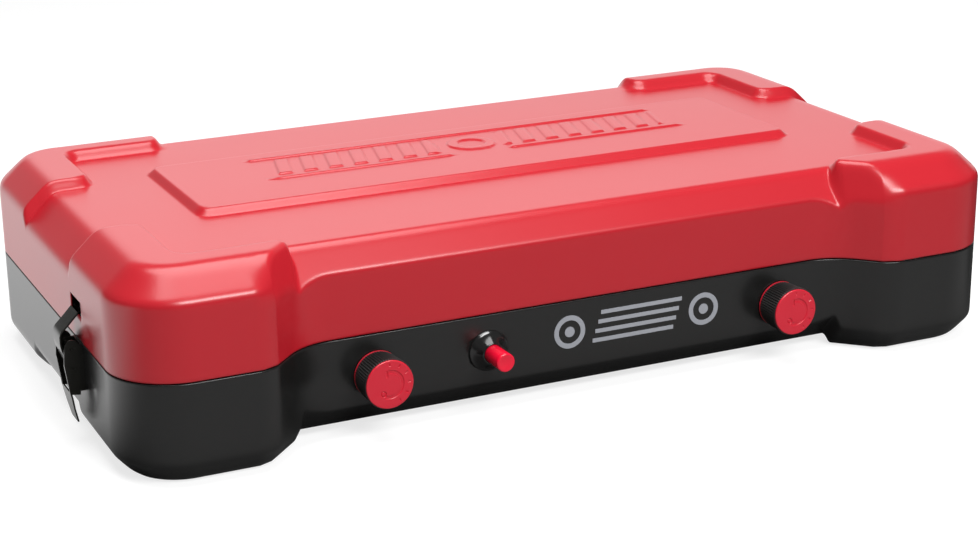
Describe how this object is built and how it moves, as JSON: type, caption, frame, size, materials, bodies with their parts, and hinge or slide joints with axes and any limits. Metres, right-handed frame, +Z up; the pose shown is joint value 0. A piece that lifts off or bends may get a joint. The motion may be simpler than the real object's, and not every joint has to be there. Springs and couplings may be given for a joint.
{
  "type": "camp stove",
  "caption": "Folding gas camp stove in a rectangular steel carrying case with hinged lid, side draw latches, front control knobs and a push igniter.",
  "frame": {"origin": "on the ground, at the centre of the overall length and depth", "axes": "+X to the right seen from the front, +Y towards the rear hinges, +Z up; the controls face -Y"},
  "size_m": [0.623, 0.3355, 0.127],
  "materials": {
    "red_powder_coat": "satin",
    "black_powder_coat": "satin",
    "black_steel": "gloss",
    "zinc_steel": "brushed",
    "print_grey": "matte",
    "black_gloss_plastic": "gloss",
    "black_plastic": "matte",
    "red_plastic": "semi-gloss",
    "brass": "machined",
    "cast_aluminium": "cast",
    "aluminium_tube": "drawn",
    "tray_coat": "gloss",
    "enamel_black": "enamel",
    "grate_chrome": "plated",
    "ceramic_white": "glazed",
    "lead_rubber": "matte",
    "screen_coat": "satin"
  },
  "bodies": {
    "case": {"base_shell": "black_powder_coat", "burner_bowls": "cast_aluminium", "burner_caps": "enamel_black", "burner_cradles": "zinc_steel", "drip_tray": "tray_coat", "electrode_ceramics": "ceramic_white", "electrode_pins": "zinc_steel", "floor_screws": "zinc_steel", "front_mark": "print_grey", "gas_jets": "brass", "grate_ring": "grate_chrome", "grate_rods": "grate_chrome", "hinge_base_leaves": "zinc_steel", "hinge_base_rivets": "zinc_steel", "hinge_pins": "zinc_steel", "igniter_bezel": "black_gloss_plastic", "igniter_body": "black_plastic", "igniter_nut": "black_plastic", "ignition_leads": "lead_rubber", "inlet_fitting": "brass", "inlet_nut": "brass", "latch_brackets": "black_steel", "latch_pivot_pins": "black_steel", "latch_rivets": "black_steel", "manifold_pipes": "aluminium_tube", "screen_brackets": "zinc_steel", "screen_rods": "zinc_steel", "tray_posts": "zinc_steel", "tray_screws": "zinc_steel", "valve_bodies": "cast_aluminium", "valve_nuts": "zinc_steel", "venturi_tubes": "aluminium_tube"},
    "lid": {"lid_shell": "red_powder_coat", "hinge_lid_leaves": "zinc_steel", "hinge_lid_rivets": "zinc_steel"},
    "igniter": {"igniter_button": "red_plastic"},
    "screen_left": {"windscreen_left": "screen_coat"},
    "screen_right": {"windscreen_right": "screen_coat"},
    "lever_left": {"latch_lever_left": "black_steel", "latch_strap_pin_left": "black_steel"},
    "strap_left": {"latch_strap_left": "black_steel"},
    "knob_left": {"knob_core_left": "red_plastic", "knob_grip_left": "black_plastic", "valve_stem_left": "brass"},
    "lever_right": {"latch_lever_right": "black_steel", "latch_strap_pin_right": "black_steel"},
    "strap_right": {"latch_strap_right": "black_steel"},
    "knob_right": {"knob_core_right": "red_plastic", "knob_grip_right": "black_plastic", "valve_stem_right": "brass"}
  },
  "joints": [
    {"name": "lid_hinge", "type": "hinge", "parent": "case", "child": "lid", "pos_m": [0, 0.16515, 0.0634], "axis": [-1, 0, 0], "range_deg": [0, 95]},
    {"name": "screen_left_fold", "type": "hinge", "parent": "case", "child": "screen_left", "pos_m": [-0.287, 0.01225, 0.0735], "axis": [0, -1, 0], "range_deg": [0, 90.25]},
    {"name": "screen_right_fold", "type": "hinge", "parent": "case", "child": "screen_right", "pos_m": [0.287, 0.01225, 0.0735], "axis": [0, 1, 0], "range_deg": [0, 90.25]},
    {"name": "igniter_press", "type": "slide", "parent": "case", "child": "igniter", "axis": [0, 1, 0], "range_m": [0, 0.006], "stiffness_N_per_m": 900, "springref_m": -0.001},
    {"name": "lever_left_swing", "type": "hinge", "parent": "case", "child": "lever_left", "pos_m": [-0.305, -0.06725, 0.061], "axis": [0, 1, 0], "range_deg": [-5, 85]},
    {"name": "strap_left_swing", "type": "hinge", "parent": "lever_left", "child": "strap_left", "pos_m": [-0.3037, -0.06725, 0.0486], "axis": [0, 1, 0], "range_deg": [-111, 7]},
    {"name": "knob_left_turn", "type": "hinge", "parent": "case", "child": "knob_left", "pos_m": [-0.1376, -0.13905, 0.038], "axis": [0, -1, 0], "range_deg": [0, 270]},
    {"name": "lever_right_swing", "type": "hinge", "parent": "case", "child": "lever_right", "pos_m": [0.305, -0.06725, 0.061], "axis": [0, -1, 0], "range_deg": [-5, 85]},
    {"name": "strap_right_swing", "type": "hinge", "parent": "lever_right", "child": "strap_right", "pos_m": [0.3037, -0.06725, 0.0486], "axis": [0, -1, 0], "range_deg": [-111, 7]},
    {"name": "knob_right_turn", "type": "hinge", "parent": "case", "child": "knob_right", "pos_m": [0.1444, -0.13905, 0.038], "axis": [0, -1, 0], "range_deg": [0, 270]}
  ],
  "couplings": [
    {"joint": "screen_left_fold", "follows": "lid_hinge", "ratio": 0.95},
    {"joint": "screen_right_fold", "follows": "lid_hinge", "ratio": 0.95},
    {"joint": "strap_left_swing", "follows": "lever_left_swing", "ratio": -1.3},
    {"joint": "strap_right_swing", "follows": "lever_right_swing", "ratio": -1.3}
  ]
}
